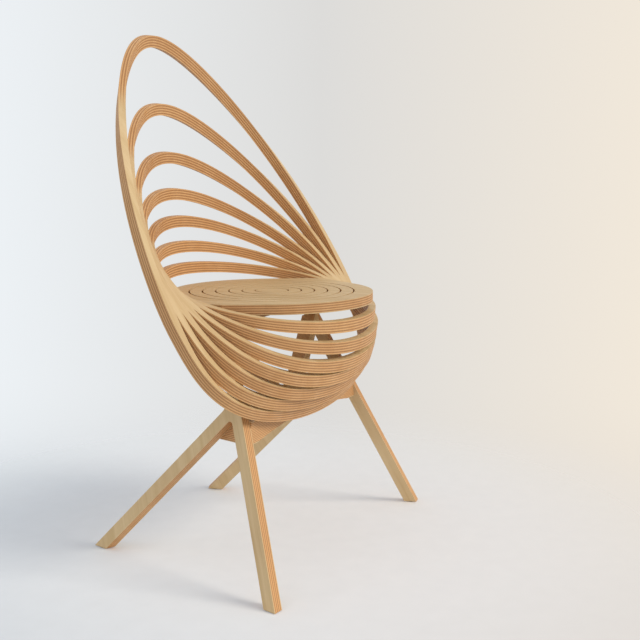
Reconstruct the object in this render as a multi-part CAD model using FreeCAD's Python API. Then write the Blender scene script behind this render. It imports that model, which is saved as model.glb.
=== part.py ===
import math
import os
import FreeCAD
import Part

# Chair made of a fan of plywood loops, a ringed round seat and two lambda shaped side frames.
# Millimetres, +Z up, the sitter faces -Y, +X is the sitter's left.
# The origin is on the floor under the middle of the whole chair.

# Sheet and common fits
ply = 18.0
kerf = 0.5
glue_gap = 0.3
overrun = 60.0

# Fan axis, the line about which all loops are turned
axis_height = 450.0
axis_y = -34.1
seat_axis_half = 202.0
axis_pitch = 17.5
axis_width = axis_pitch - kerf
axis_rod_radius = 4.0
axis_rod_cover = 6.0
axis_rod_seat_depth = 26.0

# Loops from the outermost, steepest one to the innermost, flattest one
loop_tilts = (62.25, 55.75, 48.75, 40.5, 32.75, 22.5, 11.75)
loop_back_margins = (339.0, 227.0, 150.0, 98.0, 59.0, 32.0, 15.0)
loop_front_margins = (40.0, 32.0, 28.5, 25.0, 21.0, 16.0, 7.0)
loop_back_width = 12.5
loop_front_width = 13.2
loop_back_height = 21.0
loop_front_height = 21.5
loop_back_upright_share = 0.87
loop_front_upright_share = 0.6
loop_turn_power = 4
loop_neck_power = 64
loop_swell_power = 4
loop_samples = 144
back_taper_share = 0.24
front_taper_share = -0.33
inner_back_shares = (0.0, 0.0, 0.0, 0.0, 0.0, 0.055, 0.0)
inner_front_shares = (0.06, 0.085, 0.055, 0.075, 0.035, 0.02, 0.0)
loop_count = len(loop_tilts)

# Seat of concentric rings
seat_side_gap = 20.0
seat_centre_ahead = 6.0
seat_groove = 3.0
seat_rim_width = 34.0
seat_middle_radius = 30.0
seat_ring_count = 6
ear_half = 20.0
ear_gap = 0.8
seat_screw_radius = 2.0
seat_screw_bite = 11.0
seat_screw_head_radius = 4.0
seat_screw_head_height = 3.0

# Bearer under the seat rings
bearer_end_inset = 10.0
bearer_half_width = 34.0
seat_screw_ahead = 26.0

# Side frames: front leg and arm in one line, rear leg branching off
frame_toe = 14.67
frame_lean = 13.0
leg_width = 22.0
arm_head_inset = 22.8
arm_head_behind = 4.9
arm_run_share = 0.467
rear_run_share = 0.9426
fork_drop = 137.1
fork_crotch_fillet = 7.0
fork_upper_fillet = 30.0
glide_height = 1.2
glide_radius = 8.0

# Lower rail between the frames
rail_drop = 182.0
rail_end_height = 38.0
rail_mid_height = 23.0
rail_front_ahead = 76.0
rail_back_ahead = 4.0
rail_arch_inset = 10.0
rail_dowel_radius = 4.0
rail_dowel_drop = 18.0
rail_dowel_shift = 3.5
rail_dowel_in_leg = 11.0
rail_dowel_in_rail = 28.0

# Rounded V brace from the middle of the rail to the arms of both frames
brace_bar_width = 16.0
brace_depth = 30.0
brace_bottom_radius = 75.0
brace_slope = 44.0
brace_lean = 12.0
brace_foot_ahead = 34.0
brace_foot_sink = 4.0
brace_foot_dowel_half_gap = 14.0
foot_dowel_half = 7.0
short_dowel_radius = 4.0
short_dowel_half = 11.0

# Sizes that follow from those above
seat_radius = seat_axis_half - seat_side_gap
seat_first_groove_radius = seat_radius - seat_rim_width
seat_ring_pitch = (seat_first_groove_radius - seat_middle_radius) / (seat_ring_count - 1)
loop_back_reaches = [seat_radius + margin for margin in loop_back_margins]
loop_front_reaches = [seat_radius + margin for margin in loop_front_margins]
seat_bottom = axis_height - ply / 2
bearer_bottom = seat_bottom - ply
bearer_half_length = seat_radius - bearer_end_inset
rail_top = axis_height - rail_drop
rail_dowel_height = rail_top - rail_dowel_drop
seat_y = axis_y - seat_centre_ahead
side_names = {1: "left", -1: "right"}


def export(node, shape):
    # Writes one piece to its own file
    shape.exportStep(os.path.join("parts", node + ".step"))


def block(x0, x1, y0, y1, z0, z1):
    # Box between two corners
    return Part.makeBox(x1 - x0, y1 - y0, z1 - z0, FreeCAD.Vector(x0, y0, z0))


def rod(start, direction, length, radius):
    # Round bar
    return Part.makeCylinder(radius, length, start, direction)


def egg_plate(half_width, back, front):
    # Egg outline lying flat, axis along X, back lobe to +Y, one sheet thick about the axis
    points = []
    for step in range(loop_samples):
        turn = 2 * math.pi * step / loop_samples
        rise = math.sin(turn)
        reach = back if rise > 0 else front
        points.append(FreeCAD.Vector(half_width * math.cos(turn), reach * rise, -ply / 2))
    curve = Part.BSplineCurve()
    curve.interpolate(Points=points, PeriodicFlag=True)
    outline = Part.Face(Part.Wire(curve.toShape()))
    return outline.extrude(FreeCAD.Vector(0, 0, ply))


def axis_bores(radius, inner_end, outer_end):
    # One round bar along the fan axis on each side
    bars = []
    for side in (1, -1):
        start = FreeCAD.Vector(side * inner_end, axis_y, axis_height)
        bars.append(rod(start, FreeCAD.Vector(side, 0, 0), outer_end - inner_end, radius))
    return bars


# Shell loops
plumb = FreeCAD.Vector(0, 0, 1)
leftward = FreeCAD.Vector(1, 0, 0)
axis_middle = FreeCAD.Vector(0, axis_y, axis_height)
outer_half = seat_axis_half + loop_count * axis_pitch
rod_inner_end = seat_axis_half - axis_rod_seat_depth
rod_outer_end = outer_half - axis_rod_cover
bores = axis_bores(axis_rod_radius + glue_gap, rod_inner_end - glue_gap, rod_outer_end + glue_gap)


def loop_corners(index, step):
    # Corners of a loop's section at one step round it: upper outer, upper inner, lower inner, lower outer
    outward = loop_count - index
    share = outward / loop_count
    turn = 2 * math.pi * step / loop_samples
    rise = math.sin(turn)
    level = math.cos(turn)
    if rise > 0:
        lobe_width = loop_back_width
        lobe_height = loop_back_height
        upright_share = loop_back_upright_share
        reach = loop_back_reaches[index] - lobe_width / 2
        taper = back_taper_share * share - inner_back_shares[index] / 2
    else:
        lobe_width = loop_front_width
        lobe_height = loop_front_height
        upright_share = loop_front_upright_share
        reach = loop_front_reaches[index] - lobe_width / 2
        taper = front_taper_share * share - inner_front_shares[index] / 2
    half_width = seat_axis_half + outward * axis_pitch - axis_width / 2
    narrowing = 1 - taper * rise ** 2
    tilt = math.radians(loop_tilts[index])
    slope = FreeCAD.Vector(0, math.cos(tilt), math.sin(tilt))
    sheet_normal = leftward.cross(slope)
    middle = axis_middle + leftward * (half_width * level * narrowing) + slope * (reach * rise)
    run = leftward * (-half_width * rise * (narrowing + 2 * taper * level ** 2)) + slope * (reach * level)
    run.normalize()
    upright = (plumb - run * plumb.dot(run)).normalize()
    turned = upright_share * (1 - level ** loop_turn_power)
    top = (sheet_normal * (1 - turned) + upright * turned).normalize()
    side = run.cross(top)
    to_top = top * ((ply + (lobe_height - ply) * rise ** loop_swell_power) / 2)
    to_side = side * ((lobe_width + (axis_width - lobe_width) * level ** loop_neck_power) / 2)
    return (middle + to_top + to_side, middle + to_top - to_side,
            middle - to_top - to_side, middle - to_top + to_side)


def shell_loop(index):
    # One loop: level with its sheet at the fan axis, turning upright toward both lobes
    sections = [loop_corners(index, step) for step in range(loop_samples)]
    knots = [step / loop_samples for step in range(loop_samples + 1)]
    edges = []
    for corner in range(4):
        curve = Part.BSplineCurve()
        points = [section[corner] for section in sections]
        curve.interpolate(Points=points, PeriodicFlag=True, Parameters=knots)
        edges.append(curve.toShape())
    faces = [Part.makeRuledSurface(edges[corner - 1], edges[corner]) for corner in range(4)]
    shell = Part.makeShell(faces)
    shell.sewShape()
    loop = Part.makeSolid(shell)
    if loop.Volume < 0:
        loop.reverse()
    return loop.cut(bores)


# Seat
def seat_disc(radius):
    # Flat disc of the seat sheet
    return rod(FreeCAD.Vector(0, seat_y, seat_bottom), FreeCAD.Vector(0, 0, 1), ply, radius)


def ear_root(side):
    # Spot just inside the round seat where the straight edge of the left ear leaves it
    radius = seat_radius - ear_gap
    tip = FreeCAD.Vector(seat_axis_half, side * ear_half + seat_centre_ahead, 0)
    bearing = math.atan2(tip.y, tip.x) + side * math.acos(radius / tip.Length)
    return radius * math.cos(bearing), radius * math.sin(bearing) - seat_centre_ahead


def seat_blank():
    # Outer seat outline: the round seat with two ears that reach the fan axis rods
    last = loop_count - 1
    limit = egg_plate(seat_axis_half + kerf - ear_gap,
                      loop_back_reaches[last] - loop_back_width - ear_gap,
                      loop_front_reaches[last] - loop_front_width - ear_gap)
    limit.translate(FreeCAD.Vector(0, axis_y, axis_height))
    left = [ear_root(-1), (seat_axis_half, -ear_half), (seat_axis_half, ear_half), ear_root(1)]
    flat = left + [(-x, y) for x, y in reversed(left)]
    corners = [FreeCAD.Vector(x, axis_y + y, seat_bottom) for x, y in flat]
    ears = Part.Face(Part.makePolygon(corners + corners[:1])).extrude(FreeCAD.Vector(0, 0, ply))
    return seat_disc(seat_radius).fuse(ears.common(limit)).removeSplitter()


def seat_pieces():
    # Rings from the rim inward, then the centre disc
    pieces = []
    outer = seat_blank()
    for number in range(seat_ring_count):
        middle = seat_first_groove_radius - number * seat_ring_pitch
        pieces.append(outer.cut(seat_disc(middle + seat_groove / 2)))
        outer = seat_disc(middle - seat_groove / 2)
    pieces.append(outer)
    return pieces


def seat_screw_places():
    # Screw spots along the bearer, two for each ring and two for the centre disc
    places = []
    outer = seat_radius
    for number in range(seat_ring_count):
        inner = seat_first_groove_radius - number * seat_ring_pitch
        places.append((outer + inner) / 2 if number else inner + seat_ring_pitch / 2)
        outer = inner
    places.append(outer / 2)
    return [side * place for place in places for side in (1, -1)]


def seat_screws(gap):
    # Countersunk style screws up through the bearer, grown by a gap for the bores
    screws = []
    for place in seat_screw_places():
        row = axis_y - seat_screw_ahead
        foot = FreeCAD.Vector(place, row, bearer_bottom)
        neck = FreeCAD.Vector(place, row, bearer_bottom + seat_screw_head_height)
        up = FreeCAD.Vector(0, 0, 1)
        shank_length = ply + seat_screw_bite - seat_screw_head_height + gap
        head = rod(foot, up, seat_screw_head_height, seat_screw_head_radius + gap)
        shank = rod(neck, up, shank_length, seat_screw_radius + gap)
        screws.append(head.fuse(shank))
    return screws


# Side frames
toe = math.radians(frame_toe)
lean = math.radians(frame_lean)
frame_along = FreeCAD.Vector(-math.sin(toe), math.cos(toe), 0)
frame_up = plumb * math.cos(lean) + plumb.cross(frame_along) * math.sin(lean)
frame_out = frame_along.cross(frame_up)
arm_direction = (frame_along * arm_run_share + frame_up).normalize()
arm_head = FreeCAD.Vector(bearer_half_length - arm_head_inset, axis_y + arm_head_behind, bearer_bottom)
front_foot = arm_head - arm_direction * (bearer_bottom / arm_direction.z)
fork_height = bearer_bottom / frame_up.z - fork_drop
frame_span = (arm_run_share + rear_run_share) * fork_height
rear_foot = front_foot + frame_along * frame_span


def frame_point(along, up, out):
    # Point of the left frame from its own sheet coordinates
    return front_foot + frame_along * along + frame_up * up + frame_out * out


def bar_face(start, end, width):
    # Straight bar of the frame sheet between two sheet points, drawn on the inner face
    run = FreeCAD.Vector(end[0] - start[0], end[1] - start[1], 0).normalize()
    side_step = FreeCAD.Vector(-run.y, run.x, 0) * (width / 2)
    flat = [(start[0] + side_step.x, start[1] + side_step.y),
            (end[0] + side_step.x, end[1] + side_step.y),
            (end[0] - side_step.x, end[1] - side_step.y),
            (start[0] - side_step.x, start[1] - side_step.y)]
    corners = [frame_point(along, up, -ply / 2) for along, up in flat]
    return Part.Face(Part.makePolygon(corners + corners[:1]))


def fork_corner(offset):
    # Corner between the back of the front leg and one edge of the rear leg
    back_step = FreeCAD.Vector(1, -arm_run_share, 0).normalize()
    up_step = FreeCAD.Vector(1, rear_run_share, 0).normalize()
    fork = FreeCAD.Vector(arm_run_share * fork_height, fork_height, 0)
    back_value = leg_width / 2
    up_value = fork.dot(up_step) + offset
    across = back_step.x * up_step.y - back_step.y * up_step.x
    along = (back_value * up_step.y - back_step.y * up_value) / across
    up = (back_step.x * up_value - back_value * up_step.x) / across
    return frame_point(along, up, 0)


def left_frame():
    # Front leg with arm, rear leg, rounded forks, cut level at the floor and under the bearer
    fork = (arm_run_share * fork_height, fork_height)
    arm_end_up = axis_height + overrun
    low_end = (-overrun * arm_run_share, -overrun)
    high_end = (arm_end_up * arm_run_share, arm_end_up)
    rear_end = (frame_span + overrun * rear_run_share, -overrun)
    sheet = frame_out * ply
    front_bar = bar_face(low_end, high_end, leg_width).extrude(sheet)
    rear_bar = bar_face(fork, rear_end, leg_width).extrude(sheet)
    frame = front_bar.fuse(rear_bar).removeSplitter()
    for fillet, offset in ((fork_upper_fillet, leg_width / 2), (fork_crotch_fillet, -leg_width / 2)):
        corner = fork_corner(offset)
        nearest = min(frame.Edges, key=lambda edge: (edge.CenterOfMass - corner).Length)
        frame = frame.makeFillet(fillet, [nearest])
    reach = outer_half + overrun
    below = block(0, reach, -reach, reach, -2 * overrun, glide_height)
    over = block(0, reach, -reach, reach, bearer_bottom, axis_height + 2 * overrun)
    return frame.cut([below, over])


def mirrored(shape, side):
    # The same piece for the left side, or mirrored for the right side
    if side > 0:
        return shape
    return shape.mirror(FreeCAD.Vector(0, 0, 0), FreeCAD.Vector(1, 0, 0))


def inner_face_x(y, z):
    # Half width between the frames' inner faces at a height and depth
    spot = frame_point(0, 0, -ply / 2)
    return spot.x - ((y - spot.y) * frame_out.y + (z - spot.z) * frame_out.z) / frame_out.x


def outside_frames():
    # Space outward of both inner faces, used to trim what fits between the frames
    corners = [frame_point(along, up, -ply / 2)
               for along, up in ((-overrun, 0), (frame_span + overrun, 0),
                                 (frame_span + overrun, axis_height), (-overrun, axis_height))]
    slab = Part.Face(Part.makePolygon(corners + corners[:1])).extrude(frame_out * outer_half)
    return [slab, mirrored(slab, -1)]


# Lower rail
def rail_dowels(gap):
    # Two dowels at each rail end, one into each leg, a little toward the other leg
    dowels = []
    up = rail_dowel_height / frame_up.z
    front_y = frame_point(arm_run_share * up, up, -ply / 2).y + rail_dowel_shift
    rear_y = frame_point(frame_span - rear_run_share * up, up, -ply / 2).y - rail_dowel_shift
    for side in (1, -1):
        for y in (front_y, rear_y):
            inner = inner_face_x(y, rail_dowel_height) - rail_dowel_in_rail - gap
            length = rail_dowel_in_rail + rail_dowel_in_leg + 2 * gap
            start = FreeCAD.Vector(side * inner, y, rail_dowel_height)
            dowels.append(rod(start, FreeCAD.Vector(side, 0, 0), length, rail_dowel_radius + gap))
    return dowels


def rail_body():
    # Deep board between the frames with an arched lower edge
    front = axis_y - rail_front_ahead
    back = axis_y - rail_back_ahead
    board = block(-outer_half, outer_half, front, back, rail_top - rail_end_height, rail_top)
    rise = rail_end_height - rail_mid_height
    arch_half = inner_face_x(back, rail_top - rail_end_height) - rail_arch_inset
    arch_radius = (arch_half ** 2 + rise ** 2) / (2 * rise)
    arch_centre = rail_top - rail_mid_height - arch_radius
    arch_start = FreeCAD.Vector(0, front - overrun, arch_centre)
    arch = rod(arch_start, FreeCAD.Vector(0, 1, 0), back - front + 2 * overrun, arch_radius)
    return board.cut([arch] + outside_frames())


# Brace
slope = math.radians(brace_slope)
brace_tilt = math.radians(brace_lean)
brace_middle_radius = brace_bottom_radius - brace_bar_width / 2


def brace_point(across, up):
    # Point in the middle of the leaned brace, measured from the rail's top
    return FreeCAD.Vector(across, axis_y - brace_foot_ahead + up * math.sin(brace_tilt),
                          rail_top + up * math.cos(brace_tilt))


def brace_filled(radius, base):
    # Block filled above a V with a round bottom
    turn_x = radius * math.sin(slope)
    turn_z = base + radius * (1 - math.cos(slope))
    top = rail_drop + overrun
    top_x = turn_x + (top - turn_z) / math.tan(slope)
    spots = [FreeCAD.Vector(x, -brace_depth / 2, z)
             for x, z in ((-top_x, top), (-turn_x, turn_z), (0, base), (turn_x, turn_z), (top_x, top))]
    edges = [Part.makeLine(spots[0], spots[1]), Part.Arc(spots[1], spots[2], spots[3]).toShape(),
             Part.makeLine(spots[3], spots[4]), Part.makeLine(spots[4], spots[0])]
    return Part.Face(Part.Wire(edges)).extrude(FreeCAD.Vector(0, brace_depth, 0))


def brace_body():
    # Rounded V band leaned back, level on the rail and trimmed at the inner faces of the frames
    outer = brace_filled(brace_bottom_radius, -brace_foot_sink)
    inner = brace_filled(brace_bottom_radius - brace_bar_width, brace_bar_width - brace_foot_sink)
    band = outer.cut(inner)
    band.rotate(FreeCAD.Vector(0, 0, 0), FreeCAD.Vector(1, 0, 0), -brace_lean)
    band.translate(brace_point(0, 0))
    reach = outer_half
    level = block(-reach, reach, -reach, reach, rail_top, bearer_bottom)
    return band.common(level).cut(outside_frames())


brace_turn = brace_point(brace_middle_radius * math.sin(slope),
                         brace_bar_width / 2 - brace_foot_sink
                         + brace_middle_radius * (1 - math.cos(slope)))
brace_run = brace_point(math.cos(slope), math.sin(slope)) - brace_point(0, 0)
brace_to_arm = frame_point(0, 0, -ply / 2) - brace_turn
brace_end = brace_turn + brace_run * (brace_to_arm.dot(frame_out) / brace_run.dot(frame_out))


def short_dowels(middle, direction, length_half, gap):
    # Matching pair of short dowels left and right, centred on a joint face
    dowels = []
    half = length_half + gap
    for side in (1, -1):
        along = FreeCAD.Vector(side * direction.x, direction.y, direction.z)
        spot = FreeCAD.Vector(side * middle.x, middle.y, middle.z)
        dowels.append(rod(spot - along * half, along, 2 * half, short_dowel_radius + gap))
    return dowels


def arm_dowels(gap):
    # From the arms up into the bearer
    return short_dowels(arm_head, arm_direction, short_dowel_half, gap)


def brace_end_dowels(gap):
    # From the brace into both arms
    return short_dowels(brace_end, brace_run, short_dowel_half, gap)


def brace_foot_dowels(gap):
    # From the rail up into the brace
    return short_dowels(brace_point(brace_foot_dowel_half_gap, 0), plumb, foot_dowel_half, gap)


# Pieces
os.makedirs("parts", exist_ok=True)

for index in range(loop_count):
    export("shell_loop_%d" % (index + 1), shell_loop(index))

screw_bores = seat_screws(glue_gap)
rings = seat_pieces()
rings[0] = rings[0].cut(bores)
for number in range(seat_ring_count):
    export("seat_ring_%d" % (number + 1), rings[number].cut(screw_bores))
export("seat_centre_disc", rings[seat_ring_count].cut(screw_bores))
export("seat_screws", Part.makeCompound(seat_screws(0)))

for side, bar in zip((1, -1), axis_bores(axis_rod_radius, rod_inner_end, rod_outer_end)):
    export("axis_rod_" + side_names[side], bar)

arm_bores = arm_dowels(glue_gap)
end_bores = brace_end_dowels(glue_gap)
foot_bores = brace_foot_dowels(glue_gap)
rail_bores = rail_dowels(glue_gap)

bearer = block(-bearer_half_length, bearer_half_length, axis_y - bearer_half_width,
               axis_y + bearer_half_width, bearer_bottom, seat_bottom)
export("seat_bearer", bearer.cut(screw_bores + arm_bores))

frame = left_frame()
for side in (1, -1):
    export("side_frame_" + side_names[side], mirrored(frame, side).cut(arm_bores + rail_bores + end_bores))

export("lower_rail", rail_body().cut(rail_bores + foot_bores))
export("v_brace", brace_body().cut(end_bores + foot_bores))
export("rail_dowels", Part.makeCompound(rail_dowels(0)))
export("arm_dowels", Part.makeCompound(arm_dowels(0)))
export("brace_dowels", Part.makeCompound(brace_end_dowels(0) + brace_foot_dowels(0)))

rear_direction = frame_point(arm_run_share * fork_height, fork_height, 0) - rear_foot
front_glide = front_foot + arm_direction * (glide_height / arm_direction.z)
rear_glide = rear_foot + rear_direction * (glide_height / rear_direction.z)
for end, spot in (("front", front_glide), ("rear", rear_glide)):
    for side in (1, -1):
        foot = FreeCAD.Vector(side * spot.x, spot.y, 0)
        export("glide_%s_%s" % (end, side_names[side]), rod(foot, plumb, glide_height, glide_radius))
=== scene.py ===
import math
import bpy
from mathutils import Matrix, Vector

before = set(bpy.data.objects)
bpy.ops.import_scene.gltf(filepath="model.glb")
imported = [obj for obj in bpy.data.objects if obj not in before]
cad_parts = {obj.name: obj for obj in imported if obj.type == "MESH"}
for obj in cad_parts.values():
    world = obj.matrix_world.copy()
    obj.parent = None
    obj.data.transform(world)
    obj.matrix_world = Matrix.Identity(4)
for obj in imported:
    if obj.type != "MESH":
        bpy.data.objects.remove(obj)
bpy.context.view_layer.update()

# Sheet, fan axis and seat, in metres
PLY = 0.018
PLIES = 9
AXIS_Y = -0.0341
AXIS_Z = 0.450
AXIS_PITCH = 0.0175
AXIS_WIDTH = 0.017
SEAT_AXIS_HALF = 0.202
SEAT_RADIUS = 0.182
SEAT_AHEAD = 0.006
SEAT_RINGS = 6

# Loops from the outermost to the innermost, tilts in degrees
LOOP_TILTS = (62.25, 55.75, 48.75, 40.5, 32.75, 22.5, 11.75)
LOOP_BACK_MARGINS = (0.339, 0.227, 0.150, 0.098, 0.059, 0.032, 0.015)
LOOP_FRONT_MARGINS = (0.040, 0.032, 0.0285, 0.025, 0.021, 0.016, 0.007)
LOOP_BACK_WIDTH = 0.0125
LOOP_FRONT_WIDTH = 0.0132
LOOP_BACK_HEIGHT = 0.021
LOOP_FRONT_HEIGHT = 0.0215
LOOP_BACK_UPRIGHT_SHARE = 0.87
LOOP_FRONT_UPRIGHT_SHARE = 0.6
LOOP_TURN_POWER = 4
LOOP_NECK_POWER = 64
LOOP_SWELL_POWER = 4
BACK_TAPER_SHARE = 0.24
FRONT_TAPER_SHARE = -0.33
INNER_BACK_SHARES = (0.0, 0.0, 0.0, 0.0, 0.0, 0.055, 0.0)
INNER_FRONT_SHARES = (0.06, 0.085, 0.055, 0.075, 0.035, 0.02, 0.0)
# Back lobe faces that show plies: real ply lines, which are also darker there as painted shade
LINED_AND_SHADED_TURN_SHARES = (0.62, 0.74)
LINED_AND_SHADED_FACE_SHARE = 0.6
LOOP_EDGE_BLUR_SHARE = 0.015

# Side frames, rail and brace, in metres and degrees
FRAME_TOE = 14.67
FRAME_LEAN = 13.0
BEARER_END_INSET = 0.010
BEARER_BOTTOM = AXIS_Z - PLY / 2 - PLY
ARM_HEAD_INSET = 0.0228
ARM_HEAD_X = SEAT_RADIUS - BEARER_END_INSET - ARM_HEAD_INSET
ARM_HEAD_BEHIND = 0.0049
ARM_RUN_SHARE = 0.467
RAIL_DROP = 0.182
RAIL_TOP = AXIS_Z - RAIL_DROP
RAIL_HEIGHT = 0.038
RAIL_PLIES = 27
BRACE_AHEAD = 0.034
BRACE_DEPTH = 0.030
BRACE_LEAN = 12.0
BRACE_PLIES = 21

# Colours of the materials, as sRGB values from 0 to 255
VENEER_PALE = (222, 194, 148)
VENEER_DEEP = (206, 175, 126)
VENEER_PORE = (176, 134, 86)
VENEER_PATCH = (188, 146, 98)
LONG_PLY_PALE = (229, 182, 126)
LONG_PLY_DEEP = (215, 165, 108)
END_PLY_PALE = (191, 139, 90)
END_PLY_DEEP = (167, 117, 73)
GLUE_LINE = (136, 88, 52)
DOWEL_PALE = (214, 172, 120)
DOWEL_DEEP = (178, 128, 80)
ZINC_PALE = (188, 190, 192)
ZINC_DEEP = (150, 152, 156)
GLIDE_DEEP = (58, 48, 40)
GLIDE_PALE = (84, 70, 58)
# Pale floor tinted by painted light, cool on the left and warm on the right
FLOOR_PAINTED_COOL_LIGHT = (236, 240, 243)
FLOOR_PAINTED_WARM_LIGHT = (246, 241, 236)
FLOOR_SPECK = (190, 190, 190)
SOFT_LIGHT = (240, 246, 255)

# Colours of the backdrop from left to right, high up and low down, all painted light: cool on the left,
# dimmer in the middle and a warm glow on the right; low down also painted floor shade, darkest on the left
BACKDROP_HIGH_PAINTED_LIGHT = ((238, 243, 247), (221, 220, 218), (243, 233, 218))
BACKDROP_LOW_PAINTED_LIGHT_AND_SHADE = ((196, 203, 209), (217, 214, 211), (226, 219, 212))

# Plywood's figure: noise scales in waves per metre, stretches along, across and through the sheet
NOISE_LOW = 0.3
NOISE_HIGH = 0.7
WAVER_SCALE = 9.0
FIGURE_SCALE = 2.2
FIGURE_STRETCHES = (1.6, 22.0, 22.0)
FIGURE_REACH = (0.32, 0.68)
PORE_STRETCHES = (9.0, 420.0, 420.0)
PORE_REACH = (0.56, 0.76)
DRIFT_STRETCHES = (1.0, 1.0, 0.6)
SPECK_SCALE = 900.0
SPECK_REACH = (0.35, 0.65)
PATCH_SCALE = 5.0
DOWEL_STRETCHES = (14.0, 420.0, 420.0)
LOOP_SEED_STEP = 0.37

# Plywood's strengths: shares of a ply, of a colour and of the relief, which is in metres
WAVER_SHARE = 0.12
GLUE_START_SHARE = 0.36
FACE_PLY_SHARES = (0.9, 0.4)
PORE_SHARE = 0.34
GLUE_SHARE = 0.12
PATCH_SHARE = 0.22
PORE_SINK_SHARE = -0.5
GLUE_SINK_SHARE = -0.9
CROSS_PLY_SINK_SHARE = -0.25
WOOD_RELIEF = 0.0004
SEAT_TONE = 0.97
FRAME_TONE = 1.02

# Backdrop, by the ray's part to the right and up, for its painted light and painted shade, and the strength
# of the soft light
BACKDROP_PAINTED_LIGHT_SIDE = 0.32
BACKDROP_PAINTED_SHADE_START = -0.20
BACKDROP_PAINTED_SHADE_END = -0.42
SOFT_STRENGTH = 0.64

# Floor and camera, in metres and, for the lens, millimetres
FLOOR_RADIUS = 9.0
FLOOR_SIDES = 64
FLOOR_FADE_START = 0.2
FLOOR_FADE_END = 1.05
FLOOR_LIGHT_SWEEP_LEFT = -0.9
FLOOR_LIGHT_SWEEP_RIGHT = 1.1
UP = Vector((0, 0, 1))
CAMERA_SPOT = Vector((-1.6545, -0.9511, 0.6997))
CAMERA_LOOK = Vector((0.8865, 0.4362, -0.1545))
CAMERA_RIGHT = CAMERA_LOOK.cross(UP).normalized()
CAMERA_SENSOR = 36.0
CAMERA_LENS = 59.385


def shade(colour, tone=1.0):
    # Linear values of a socket for an sRGB colour, darker or paler by a tone
    parts = []
    for value in colour:
        part = value * tone / 255
        parts.append(part / 12.92 if part <= 0.04045 else ((part + 0.055) / 1.055) ** 2.4)
    return (parts[0], parts[1], parts[2], 1.0)


class Nodes:
    # Short way to build a node tree
    def __init__(self, tree):
        self.tree = tree
        tree.nodes.clear()

    def node(self, kind, **values):
        made = self.tree.nodes.new(kind)
        for name, value in values.items():
            setattr(made, name, value)
        return made

    def put(self, socket, value):
        if isinstance(value, bpy.types.NodeSocket):
            self.tree.links.new(value, socket)
        else:
            socket.default_value = value

    def math(self, operation, first, second=0.0):
        made = self.node("ShaderNodeMath", operation=operation)
        self.put(made.inputs[0], first)
        self.put(made.inputs[1], second)
        return made.outputs[0]

    def plus(self, first, second):
        return self.math("ADD", first, second)

    def minus(self, first, second):
        return self.math("SUBTRACT", first, second)

    def times(self, first, second):
        return self.math("MULTIPLY", first, second)

    def over(self, first, second):
        return self.math("DIVIDE", first, second)

    def hypotenuse(self, first, second):
        return self.math("SQRT", self.plus(self.times(first, first), self.times(second, second)))

    def dot(self, vector, direction):
        made = self.node("ShaderNodeVectorMath", operation="DOT_PRODUCT")
        self.put(made.inputs[0], vector)
        made.inputs[1].default_value = direction
        return made.outputs["Value"]

    def length(self, vector):
        made = self.node("ShaderNodeVectorMath", operation="LENGTH")
        self.put(made.inputs[0], vector)
        return made.outputs["Value"]

    def stretched(self, parts, stretches):
        made = self.node("ShaderNodeCombineXYZ")
        for socket, part, stretch in zip(made.inputs, parts, stretches):
            self.put(socket, self.times(part, stretch))
        return made.outputs[0]

    def noise(self, vector, scale, detail, rough=0.5, twist=0.0):
        made = self.node("ShaderNodeTexNoise")
        self.put(made.inputs["Vector"], vector)
        made.inputs["Scale"].default_value = scale
        made.inputs["Detail"].default_value = detail
        made.inputs["Roughness"].default_value = rough
        made.inputs["Distortion"].default_value = twist
        return made.outputs["Fac"]

    def span(self, value, low, high, to_low=0.0, to_high=1.0, smooth=False):
        made = self.node("ShaderNodeMapRange", clamp=True)
        made.interpolation_type = "SMOOTHSTEP" if smooth else "LINEAR"
        self.put(made.inputs["Value"], value)
        made.inputs["From Min"].default_value = low
        made.inputs["From Max"].default_value = high
        made.inputs["To Min"].default_value = to_low
        made.inputs["To Max"].default_value = to_high
        return made.outputs["Result"]

    def noise_span(self, value, to_low=0.0, to_high=1.0):
        # Spreads a noise over a range by where most of its values lie
        return self.span(value, NOISE_LOW, NOISE_HIGH, to_low, to_high)

    def mix(self, fac, first, second, blend="MIX"):
        # Inputs 6 and 7 and output 2 are a mix node's colours
        made = self.node("ShaderNodeMix", data_type="RGBA", blend_type=blend)
        self.put(made.inputs[0], fac)
        self.put(made.inputs[6], first)
        self.put(made.inputs[7], second)
        return made.outputs[2]

    def ramp(self, place, colours):
        # Three colours, evenly spaced
        made = self.node("ShaderNodeValToRGB")
        self.put(made.inputs[0], place)
        first, middle, last = colours
        made.color_ramp.elements[0].color = shade(first)
        made.color_ramp.elements[1].color = shade(last)
        made.color_ramp.elements.new(0.5).color = shade(middle)
        return made.outputs[0]

    def bump(self, height, strength, distance):
        made = self.node("ShaderNodeBump")
        made.inputs["Strength"].default_value = strength
        made.inputs["Distance"].default_value = distance
        self.put(made.inputs["Height"], height)
        return made.outputs["Normal"]

    def skin(self, colour, roughness):
        made = self.node("ShaderNodeBsdfPrincipled")
        self.put(made.inputs["Base Color"], colour)
        self.put(made.inputs["Roughness"], roughness)
        return made

    def blend(self, fac, first, second):
        made = self.node("ShaderNodeMixShader")
        self.put(made.inputs[0], fac)
        self.put(made.inputs[1], first.outputs[0])
        self.put(made.inputs[2], second.outputs[0])
        return made

    def surface(self, shader, kind="ShaderNodeOutputMaterial"):
        self.put(self.node(kind).inputs["Surface"], shader.outputs[0])


def new_material(name):
    # Empty material, the builder of its nodes and the place on the piece
    material = bpy.data.materials.new(name)
    material.use_nodes = True
    n = Nodes(material.node_tree)
    return material, n, n.node("ShaderNodeTexCoord").outputs["Object"]


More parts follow.
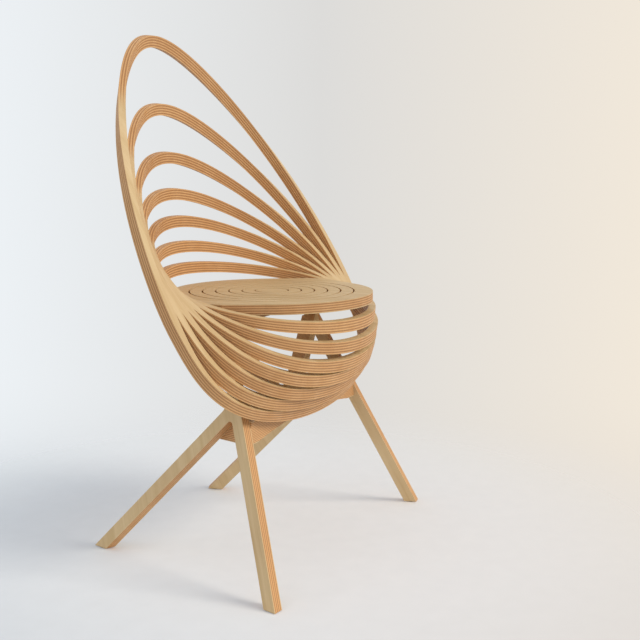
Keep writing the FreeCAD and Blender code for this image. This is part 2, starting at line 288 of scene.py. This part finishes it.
def flat_layers(spot, normal, plies=PLIES, sheet=PLY):
    # Layers of a flat sheet: share of the depth, and where a cut edge shows
    def layers(n, place):
        deep = n.minus(n.dot(place, normal), Vector(spot).dot(normal))
        layer = n.plus(n.over(deep, sheet), 0.5)
        off = n.math("ABSOLUTE", n.minus(layer, 0.5))
        fade_start, fade_end = [0.5 - share / plies for share in FACE_PLY_SHARES]
        return layer, n.span(off, fade_start, fade_end, 1.0, 0.0, smooth=True)
    return layers


def loop_layers(index):
    # Layers of a loop: its section turns upright toward both lobes, the cut shows on its two sides
    # and, where it has left the sheet's own slope, on the upper and lower faces of its back lobe too,
    # where these darker plies also serve as painted shade
    def layers(n, place):
        count = len(LOOP_TILTS)
        tilt = math.radians(LOOP_TILTS[index])
        slope = Vector((0, math.cos(tilt), math.sin(tilt)))
        normal = Vector((0, -math.sin(tilt), math.cos(tilt)))
        axis = Vector((0, AXIS_Y, AXIS_Z))
        half = SEAT_AXIS_HALF + (count - index) * AXIS_PITCH - AXIS_WIDTH / 2
        outer_share = (count - index) / count
        wide = n.dot(place, (1, 0, 0))
        long = n.minus(n.dot(place, slope), axis.dot(slope))
        deep = n.minus(n.dot(place, normal), axis.dot(normal))
        behind = n.math("GREATER_THAN", long, 0.0)

        def lobe(front, back):
            return n.plus(n.times(behind, back - front), front)

        lobe_width = lobe(LOOP_FRONT_WIDTH, LOOP_BACK_WIDTH)
        lobe_height = lobe(LOOP_FRONT_HEIGHT, LOOP_BACK_HEIGHT)
        upright = lobe(LOOP_FRONT_UPRIGHT_SHARE, LOOP_BACK_UPRIGHT_SHARE)
        reach = lobe(SEAT_RADIUS + LOOP_FRONT_MARGINS[index] - LOOP_FRONT_WIDTH / 2,
                     SEAT_RADIUS + LOOP_BACK_MARGINS[index] - LOOP_BACK_WIDTH / 2)
        taper = lobe(FRONT_TAPER_SHARE * outer_share - INNER_FRONT_SHARES[index] / 2,
                     BACK_TAPER_SHARE * outer_share - INNER_BACK_SHARES[index] / 2)

        # Place round the loop, its middle line there and the way the line runs
        narrow = 1.0
        for _ in range(2):
            turn = n.math("ARCTAN2", n.over(long, reach), n.over(wide, n.times(half, narrow)))
            rise = n.math("SINE", turn)
            rise_square = n.times(rise, rise)
            narrow = n.minus(1.0, n.times(taper, rise_square))
        level = n.math("COSINE", turn)
        level_square = n.times(level, level)
        drawn_in = n.plus(narrow, n.times(n.times(taper, level_square), 2.0))
        run_wide = n.times(n.times(rise, -half), drawn_in)
        run_long = n.times(reach, level)
        run = n.hypotenuse(run_wide, run_long)
        run_wide = n.over(run_wide, run)
        run_long = n.over(run_long, run)

        # Up direction of the section there
        turned = n.minus(1.0, n.math("POWER", level_square, LOOP_TURN_POWER / 2))
        turned = n.times(upright, turned)
        lift = n.times(run_wide, -math.sin(tilt))
        share = n.over(turned, n.hypotenuse(lift, math.cos(tilt)))
        top_out = n.times(lift, share)
        top_up = n.plus(n.minus(1.0, turned), n.times(share, math.cos(tilt)))
        top = n.hypotenuse(top_out, top_up)

        # The point's place in the section, as shares of its height and width
        out_wide = n.minus(wide, n.times(n.times(level, half), narrow))
        out_long = n.minus(long, n.times(reach, rise))
        out = n.minus(n.times(run_long, out_wide), n.times(run_wide, out_long))
        high = n.over(n.plus(n.times(top_out, out), n.times(top_up, deep)), top)
        aside = n.over(n.minus(n.times(top_up, out), n.times(top_out, deep)), top)
        swell = n.math("POWER", rise_square, LOOP_SWELL_POWER / 2)
        neck = n.math("POWER", level_square, LOOP_NECK_POWER / 2)
        high = n.over(high, n.plus(n.times(n.minus(lobe_height, PLY), swell), PLY))
        aside = n.over(aside, n.plus(n.times(n.minus(AXIS_WIDTH, lobe_width), neck), lobe_width))

        # Cut sides show their height's layers, faces with plies those across them; on the back lobe these
        # are real plies that also serve as painted shade
        edge = n.minus(n.math("ABSOLUTE", aside), n.math("ABSOLUTE", high))
        edge = n.span(edge, -LOOP_EDGE_BLUR_SHARE, LOOP_EDGE_BLUR_SHARE)
        lined_and_shaded = n.times(n.minus(1.0, edge), n.times(aside, LINED_AND_SHADED_FACE_SHARE))
        layer = n.plus(n.plus(n.times(edge, high), lined_and_shaded), 0.5)
        # Plies on the back lobe's turned faces, partly real lines and partly painted shade
        return layer, n.math("MAXIMUM", edge, n.span(turned, *LINED_AND_SHADED_TURN_SHARES, smooth=True))
    return layers


def plywood(name, layers, normal, grain, tone=1.0, seed=0.0, plies=PLIES):
    # Birch style plywood: plain veneer on the faces, plies and glue lines wherever an edge is cut
    material, n, place = new_material(name)
    normal = Vector(normal).normalized()
    grain = (Vector(grain) - normal * normal.dot(Vector(grain))).normalized()
    along = n.plus(n.dot(place, grain), seed)
    sheet_place = (along, n.dot(place, normal.cross(grain)), n.dot(place, normal))
    layer, cut = layers(n, place)

    # Which ply a point is in, with a slow waver of the glue lines
    waver = n.noise_span(n.noise(place, WAVER_SCALE, 2.0), -WAVER_SHARE, WAVER_SHARE)
    level = n.plus(n.times(layer, float(plies)), waver)
    pair_half = n.math("FRACT", n.times(n.math("FLOOR", level), 0.5))
    cross_ply = n.math("GREATER_THAN", pair_half, 0.25)
    from_middle = n.math("ABSOLUTE", n.minus(n.math("FRACT", level), 0.5))
    glue = n.span(from_middle, GLUE_START_SHARE, 0.5, smooth=True)

    # Long figure of the veneer, fine pores along the grain and end grain specks in the cross plies
    drift = n.stretched(sheet_place, DRIFT_STRETCHES)
    figure = n.noise(n.stretched(sheet_place, FIGURE_STRETCHES), FIGURE_SCALE, 5.0, 0.55, 0.35)
    pores = n.noise(n.stretched(sheet_place, PORE_STRETCHES), 1.0, 3.0, 0.6)
    specks = n.noise(drift, SPECK_SCALE, 2.0, 0.6)
    patches = n.noise(drift, PATCH_SCALE, 2.0)

    # Veneer on the faces, plies on the cut edges and slow darker patches on both
    face = n.mix(n.span(figure, *FIGURE_REACH), shade(VENEER_PALE, tone), shade(VENEER_DEEP, tone))
    face = n.mix(n.span(pores, *PORE_REACH, 0.0, PORE_SHARE), face, shade(VENEER_PORE, tone))
    long_ply = n.mix(n.noise_span(figure), shade(LONG_PLY_PALE, tone), shade(LONG_PLY_DEEP, tone))
    end_ply = n.mix(n.span(specks, *SPECK_REACH), shade(END_PLY_PALE, tone), shade(END_PLY_DEEP, tone))
    edge = n.mix(cross_ply, long_ply, end_ply)
    edge = n.mix(n.times(glue, GLUE_SHARE), edge, shade(GLUE_LINE, tone))
    wood = n.mix(cut, face, edge)
    patched = n.noise_span(patches, 0.0, PATCH_SHARE)
    wood = n.mix(patched, wood, shade(VENEER_PATCH, tone), "MULTIPLY")

    # Pores, glue lines and cross plies lie a little lower
    roughness = n.span(n.plus(figure, n.times(pores, 0.4)), 0.4, 1.0, 0.46, 0.62)
    shader = n.skin(wood, roughness)
    shader.inputs["Specular IOR Level"].default_value = 0.35
    relief = n.plus(n.times(pores, PORE_SINK_SHARE), n.times(n.times(glue, cut), GLUE_SINK_SHARE))
    relief = n.plus(relief, n.times(n.times(cross_ply, cut), CROSS_PLY_SINK_SHARE))
    n.put(shader.inputs["Normal"], n.bump(relief, 0.35, WOOD_RELIEF))
    n.surface(shader)
    return material


def turned_wood(name):
    # Beech style dowel wood with streaks along X
    material, n, place = new_material(name)
    split = n.node("ShaderNodeSeparateXYZ")
    n.put(split.inputs[0], place)
    streak = n.noise(n.stretched(split.outputs, DOWEL_STRETCHES), 1.0, 4.0, 0.6)
    wood = n.mix(n.noise_span(streak), shade(DOWEL_PALE), shade(DOWEL_DEEP))
    shader = n.skin(wood, n.span(streak, 0.2, 0.8, 0.5, 0.68))
    n.put(shader.inputs["Normal"], n.bump(streak, 0.3, 0.0003))
    n.surface(shader)
    return material


def zinc_steel(name):
    # Zinc plated screw steel with a cloudy plating
    material, n, place = new_material(name)
    cloud = n.noise(place, 320.0, 3.0, 0.6)
    plating = n.mix(n.noise_span(cloud), shade(ZINC_PALE), shade(ZINC_DEEP))
    shader = n.skin(plating, n.noise_span(cloud, 0.28, 0.46))
    shader.inputs["Metallic"].default_value = 1.0
    n.put(shader.inputs["Normal"], n.bump(cloud, 0.15, 0.0002))
    n.surface(shader)
    return material


def glide_plastic(name):
    # Dark moulded glide with a fine grained skin
    material, n, place = new_material(name)
    grain = n.noise(place, 900.0, 3.0, 0.6)
    shader = n.skin(n.mix(grain, shade(GLIDE_DEEP), shade(GLIDE_PALE)), n.noise_span(grain, 0.5, 0.68))
    n.put(shader.inputs["Normal"], n.bump(grain, 0.25, 0.0003))
    n.surface(shader)
    return material


def floor_paint(name):
    # Pale paint with painted light, cool on the left and warm on the right, that fades away round the chair
    material, n, place = new_material(name)
    far = n.span(n.length(place), FLOOR_FADE_START, FLOOR_FADE_END, smooth=True)
    # Painted light: the floor cooler to the left and warmer to the right
    light_sweep = n.span(n.dot(place, CAMERA_RIGHT), FLOOR_LIGHT_SWEEP_LEFT, FLOOR_LIGHT_SWEEP_RIGHT, smooth=True)
    paint_and_light = n.mix(light_sweep, shade(FLOOR_PAINTED_COOL_LIGHT), shade(FLOOR_PAINTED_WARM_LIGHT))
    specks = n.noise_span(n.noise(place, 26.0, 4.0), 0.0, 0.06)
    shader = n.skin(n.mix(specks, paint_and_light, shade(FLOOR_SPECK)), 0.7)
    shader.inputs["Specular IOR Level"].default_value = 0.2
    n.surface(n.blend(far, shader, n.node("ShaderNodeBsdfTransparent")))
    return material


def dress(node, material):
    # Gives a CAD node its material in every slot
    mesh = bpy.data.objects[node].data
    mesh.materials.clear()
    mesh.materials.append(material)


def place_in_scene(name, data):
    # New object in the scene
    thing = bpy.data.objects.new(name, data)
    bpy.context.scene.collection.objects.link(thing)
    return thing


# Loops: each sheet is turned about the fan axis
for number, tilt in enumerate(LOOP_TILTS, 1):
    turn = math.radians(tilt)
    loop_normal = (0, -math.sin(turn), math.cos(turn))
    loop_grain = (0, math.cos(turn), math.sin(turn))
    loop_wood = plywood("loop_plywood_%d" % number, loop_layers(number - 1), loop_normal, loop_grain,
                        seed=LOOP_SEED_STEP * number)
    dress("shell_loop_%d" % number, loop_wood)

# Seat rings and disc, cut from one sheet, and the bearer below them
seat_layers = flat_layers((0, AXIS_Y - SEAT_AHEAD, AXIS_Z), UP)
seat_wood = plywood("seat_plywood", seat_layers, UP, (0, 1, 0), tone=SEAT_TONE, seed=3.1)
for number in range(1, SEAT_RINGS + 1):
    dress("seat_ring_%d" % number, seat_wood)
dress("seat_centre_disc", seat_wood)
bearer_layers = flat_layers((0, AXIS_Y, AXIS_Z - PLY), UP)
dress("seat_bearer", plywood("bearer_plywood", bearer_layers, UP, (1, 0, 0), seed=4.4))

# Side frames: leaned and toed in sheets, the right one mirrored
toe = math.radians(FRAME_TOE)
lean = math.radians(FRAME_LEAN)
for side, name in ((1, "left"), (-1, "right")):
    back = Vector((-side * math.sin(toe), math.cos(toe), 0))
    rise = Vector((-side * math.cos(toe) * math.sin(lean), -math.sin(toe) * math.sin(lean), math.cos(lean)))
    out = Vector((side * math.cos(toe) * math.cos(lean), math.sin(toe) * math.cos(lean), math.sin(lean)))
    frame_layers = flat_layers((side * ARM_HEAD_X, AXIS_Y + ARM_HEAD_BEHIND, BEARER_BOTTOM), out)
    frame_wood = plywood("frame_plywood_" + name, frame_layers, out, back * ARM_RUN_SHARE + rise,
                         tone=FRAME_TONE, seed=5.0 + side)
    dress("side_frame_" + name, frame_wood)

# Rail of flat lying plies
rail_layers = flat_layers((0, AXIS_Y, RAIL_TOP - RAIL_HEIGHT / 2), UP, RAIL_PLIES, RAIL_HEIGHT)
dress("lower_rail", plywood("rail_plywood", rail_layers, UP, (1, 0, 0), seed=7.0, plies=RAIL_PLIES))

# Leaned brace
brace_turn = math.radians(BRACE_LEAN)
brace_normal = Vector((0, math.cos(brace_turn), -math.sin(brace_turn)))
brace_layers = flat_layers((0, AXIS_Y - BRACE_AHEAD, RAIL_TOP), brace_normal, BRACE_PLIES, BRACE_DEPTH)
brace_wood = plywood("brace_plywood", brace_layers, brace_normal, (1, 0, 0), seed=8.0, plies=BRACE_PLIES)
dress("v_brace", brace_wood)

# Rods, dowels, screws and glides
dowel_wood = turned_wood("dowel_wood")
for node in ("axis_rod_left", "axis_rod_right", "rail_dowels", "arm_dowels", "brace_dowels"):
    dress(node, dowel_wood)
dress("seat_screws", zinc_steel("screw_steel"))
glide = glide_plastic("glide_plastic")
for node in ("glide_front_left", "glide_front_right", "glide_rear_left", "glide_rear_right"):
    dress(node, glide)

# Round pale floor
floor_turns = [2 * math.pi * corner / FLOOR_SIDES for corner in range(FLOOR_SIDES)]
floor_ring = [(FLOOR_RADIUS * math.cos(turn), FLOOR_RADIUS * math.sin(turn), 0) for turn in floor_turns]
floor_mesh = bpy.data.meshes.new("floor")
floor_mesh.from_pydata(floor_ring, [], [list(range(FLOOR_SIDES))])
floor_mesh.materials.append(floor_paint("floor_paint"))
floor = place_in_scene("floor", floor_mesh)

# Backdrop for the rays that see it, with painted light cool on the left and warm on the right and painted
# shade low down, and an even soft light
world = bpy.data.worlds.new("studio")
bpy.context.scene.world = world
world.use_nodes = True
w = Nodes(world.node_tree)
ray = w.node("ShaderNodeTexCoord").outputs["Generated"]
# Painted light across the backdrop, and painted floor shade for the low rays
painted_light_side = w.span(w.dot(ray, CAMERA_RIGHT), -BACKDROP_PAINTED_LIGHT_SIDE, BACKDROP_PAINTED_LIGHT_SIDE)
low = w.span(w.dot(ray, UP), BACKDROP_PAINTED_SHADE_START, BACKDROP_PAINTED_SHADE_END, smooth=True)
backdrop = w.mix(low, w.ramp(painted_light_side, BACKDROP_HIGH_PAINTED_LIGHT), w.ramp(painted_light_side, BACKDROP_LOW_PAINTED_LIGHT_AND_SHADE))
shown = w.node("ShaderNodeBackground")
w.put(shown.inputs["Color"], backdrop)
soft = w.node("ShaderNodeBackground")
soft.inputs["Color"].default_value = shade(SOFT_LIGHT)
soft.inputs["Strength"].default_value = SOFT_STRENGTH
path = w.node("ShaderNodeLightPath").outputs
seen = w.math("MAXIMUM", path["Is Camera Ray"], path["Is Glossy Ray"])
seen = w.math("MAXIMUM", seen, path["Is Transmission Ray"])
w.surface(w.blend(seen, soft, shown), "ShaderNodeOutputWorld")


def sun(name, way, strength, spread, colour):
    # Broad soft light along one direction
    light = bpy.data.lights.new(name, "SUN")
    light.energy = strength
    light.angle = math.radians(spread)
    light.color = colour
    place_in_scene(name, light).rotation_euler = Vector(way).to_track_quat("-Z", "Y").to_euler()


sun("key", way=(-0.12, 0.82, -0.56), strength=1.75, spread=26.0, colour=(1.0, 0.94, 0.85))
sun("fill", way=(0.75, -0.25, -0.6), strength=0.3, spread=60.0, colour=(0.92, 0.96, 1.0))

# Camera at the photograph's place and angle
lens = bpy.data.cameras.new("photo_camera")
lens.sensor_fit = "HORIZONTAL"
lens.sensor_width = CAMERA_SENSOR
lens.lens = CAMERA_LENS
lens.dof.use_dof = False
camera = place_in_scene("photo_camera", lens)
camera.location = CAMERA_SPOT
camera.rotation_euler = CAMERA_LOOK.to_track_quat("-Z", "Y").to_euler()
bpy.context.scene.camera = camera
bpy.context.scene.view_settings.view_transform = "Standard"
